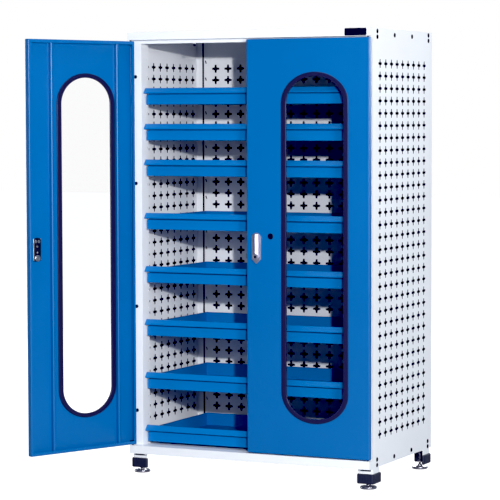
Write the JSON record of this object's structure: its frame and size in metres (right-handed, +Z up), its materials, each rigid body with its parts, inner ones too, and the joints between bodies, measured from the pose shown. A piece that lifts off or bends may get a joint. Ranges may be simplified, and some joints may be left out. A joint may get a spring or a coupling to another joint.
{
  "type": "tool cabinet",
  "caption": "Free-standing tool cabinet: perforated steel carcass, hinged window doors with turning lock levers, full-width sliding trays, bumpered levelling feet.",
  "frame": {"origin": "centre of the whole cabinet's box at floor level, with the left door standing open as in the rest pose", "axes": "+Z up, +X to the right seen from the front, +Y from the doors towards the back"},
  "size_m": [1.3172, 1.1748, 1.857],
  "materials": {
    "black_plastic": "matte",
    "black_rubber": "matte",
    "black_screw": "blackened",
    "carcass_white": "fine powder coat, satin",
    "chrome": "polished",
    "clear_pane": "clear",
    "dark_steel": "blackened",
    "door_blue": "powder coat, satin",
    "gasket_rubber": "smooth, slightly shiny",
    "lock_steel": "zinc plated",
    "tray_blue": "powder coat, satin",
    "zinc_steel": "zinc plated"
  },
  "bodies": {
    "carcass": {"side_panel_right": "carcass_white", "back_panel": "carcass_white", "top_panel": "carcass_white", "bottom_panel": "carcass_white", "front_post_right": "carcass_white", "rear_post_right": "carcass_white", "door_stop_rail": "carcass_white", "carcass_screws": "black_screw", "door_buffers": "black_rubber", "door_pivots": "dark_steel", "tray_rails": "zinc_steel", "badge_plate": "black_plastic", "foot_brackets": "carcass_white", "corner_bumpers": "black_rubber", "side_panel_left": "carcass_white", "front_post_left": "carcass_white", "rear_post_left": "carcass_white"},
    "left_door": {"door_skin_left": "door_blue", "door_edges_left": "door_blue", "door_pivot_blocks_left": "dark_steel", "door_ribs_left": "door_blue", "door_gasket_left": "gasket_rubber", "door_pane_left": "clear_pane", "handle_plate_left": "chrome", "lock_plate_left": "lock_steel"},
    "right_door": {"door_skin_right": "door_blue", "door_edges_right": "door_blue", "door_pivot_blocks_right": "dark_steel", "door_ribs_right": "door_blue", "door_gasket_right": "gasket_rubber", "door_pane_right": "clear_pane", "handle_plate_right": "chrome", "lock_plate_right": "lock_steel", "door_plug": "black_plastic"},
    "left_lever": {"lever_left": "chrome", "spindle_nut_left": "lock_steel"},
    "right_lever": {"lever_right": "chrome", "lock_cam_right": "lock_steel"},
    "left_key": {"key_cylinder_left": "chrome"},
    "right_key": {"key_cylinder_right": "chrome"},
    "tray_1": {"tray_1": "tray_blue", "tray_1_runners": "zinc_steel"},
    "tray_2": {"tray_2": "tray_blue", "tray_2_runners": "zinc_steel"},
    "tray_3": {"tray_3": "tray_blue", "tray_3_runners": "zinc_steel"},
    "tray_4": {"tray_4": "tray_blue", "tray_4_runners": "zinc_steel"},
    "tray_5": {"tray_5": "tray_blue", "tray_5_runners": "zinc_steel"},
    "tray_6": {"tray_6": "tray_blue", "tray_6_runners": "zinc_steel"},
    "tray_7": {"tray_7": "tray_blue", "tray_7_runners": "zinc_steel"},
    "tray_8": {"tray_8": "tray_blue", "tray_8_runners": "zinc_steel"},
    "foot_front_left": {"foot_front_left": "chrome"},
    "foot_front_right": {"foot_front_right": "chrome"},
    "foot_rear_left": {"foot_rear_left": "chrome"},
    "foot_rear_right": {"foot_rear_right": "chrome"}
  },
  "joints": [
    {"name": "left_door_hinge", "type": "hinge", "parent": "carcass", "child": "left_door", "pos_m": [-0.43492, -0.09064, 0.1235], "axis": [0, 0, -1], "range_deg": [-113.2, 51.8]},
    {"name": "right_door_hinge", "type": "hinge", "parent": "carcass", "child": "right_door", "pos_m": [0.64108, -0.09064, 0.1235], "axis": [0, 0, 1], "range_deg": [0, 165]},
    {"name": "left_lever_turn", "type": "hinge", "parent": "left_door", "child": "left_lever", "pos_m": [-0.63663, -0.53588, 0.932], "axis": [-0.9191, 0.3939, 0], "range_deg": [0, 90]},
    {"name": "right_lever_turn", "type": "hinge", "parent": "right_door", "child": "right_lever", "pos_m": [0.15238, -0.10064, 0.932], "axis": [0, 1, 0], "range_deg": [0, 90]},
    {"name": "left_key_turn", "type": "hinge", "parent": "left_lever", "child": "left_key", "pos_m": [-0.63663, -0.53588, 0.932], "axis": [-0.9191, 0.3939, 0], "range_deg": [0, 90]},
    {"name": "right_key_turn", "type": "hinge", "parent": "right_lever", "child": "right_key", "pos_m": [0.15238, -0.10064, 0.932], "axis": [0, 1, 0], "range_deg": [0, 90]},
    {"name": "tray_1_slide", "type": "slide", "parent": "carcass", "child": "tray_1", "axis": [0, -1, 0], "range_m": [0, 0.024]},
    {"name": "tray_2_slide", "type": "slide", "parent": "carcass", "child": "tray_2", "axis": [0, -1, 0], "range_m": [0, 0.024]},
    {"name": "tray_3_slide", "type": "slide", "parent": "carcass", "child": "tray_3", "axis": [0, -1, 0], "range_m": [0, 0.024]},
    {"name": "tray_4_slide", "type": "slide", "parent": "carcass", "child": "tray_4", "axis": [0, -1, 0], "range_m": [0, 0.024]},
    {"name": "tray_5_slide", "type": "slide", "parent": "carcass", "child": "tray_5", "axis": [0, -1, 0], "range_m": [0, 0.024]},
    {"name": "tray_6_slide", "type": "slide", "parent": "carcass", "child": "tray_6", "axis": [0, -1, 0], "range_m": [0, 0.024]},
    {"name": "tray_7_slide", "type": "slide", "parent": "carcass", "child": "tray_7", "axis": [0, -1, 0], "range_m": [0, 0.024]},
    {"name": "tray_8_slide", "type": "slide", "parent": "carcass", "child": "tray_8", "axis": [0, -1, 0], "range_m": [0, 0.024]},
    {"name": "foot_front_left_turn", "type": "hinge", "parent": "carcass", "child": "foot_front_left", "pos_m": [-0.41642, -0.04064, 0], "axis": [0, 0, 1], "continuous": true},
    {"name": "foot_front_right_turn", "type": "hinge", "parent": "carcass", "child": "foot_front_right", "pos_m": [0.62258, -0.04064, 0], "axis": [0, 0, 1], "continuous": true},
    {"name": "foot_rear_left_turn", "type": "hinge", "parent": "carcass", "child": "foot_rear_left", "pos_m": [-0.41642, 0.52936, 0], "axis": [0, 0, 1], "continuous": true},
    {"name": "foot_rear_right_turn", "type": "hinge", "parent": "carcass", "child": "foot_rear_right", "pos_m": [0.62258, 0.52936, 0], "axis": [0, 0, 1], "continuous": true}
  ]
}
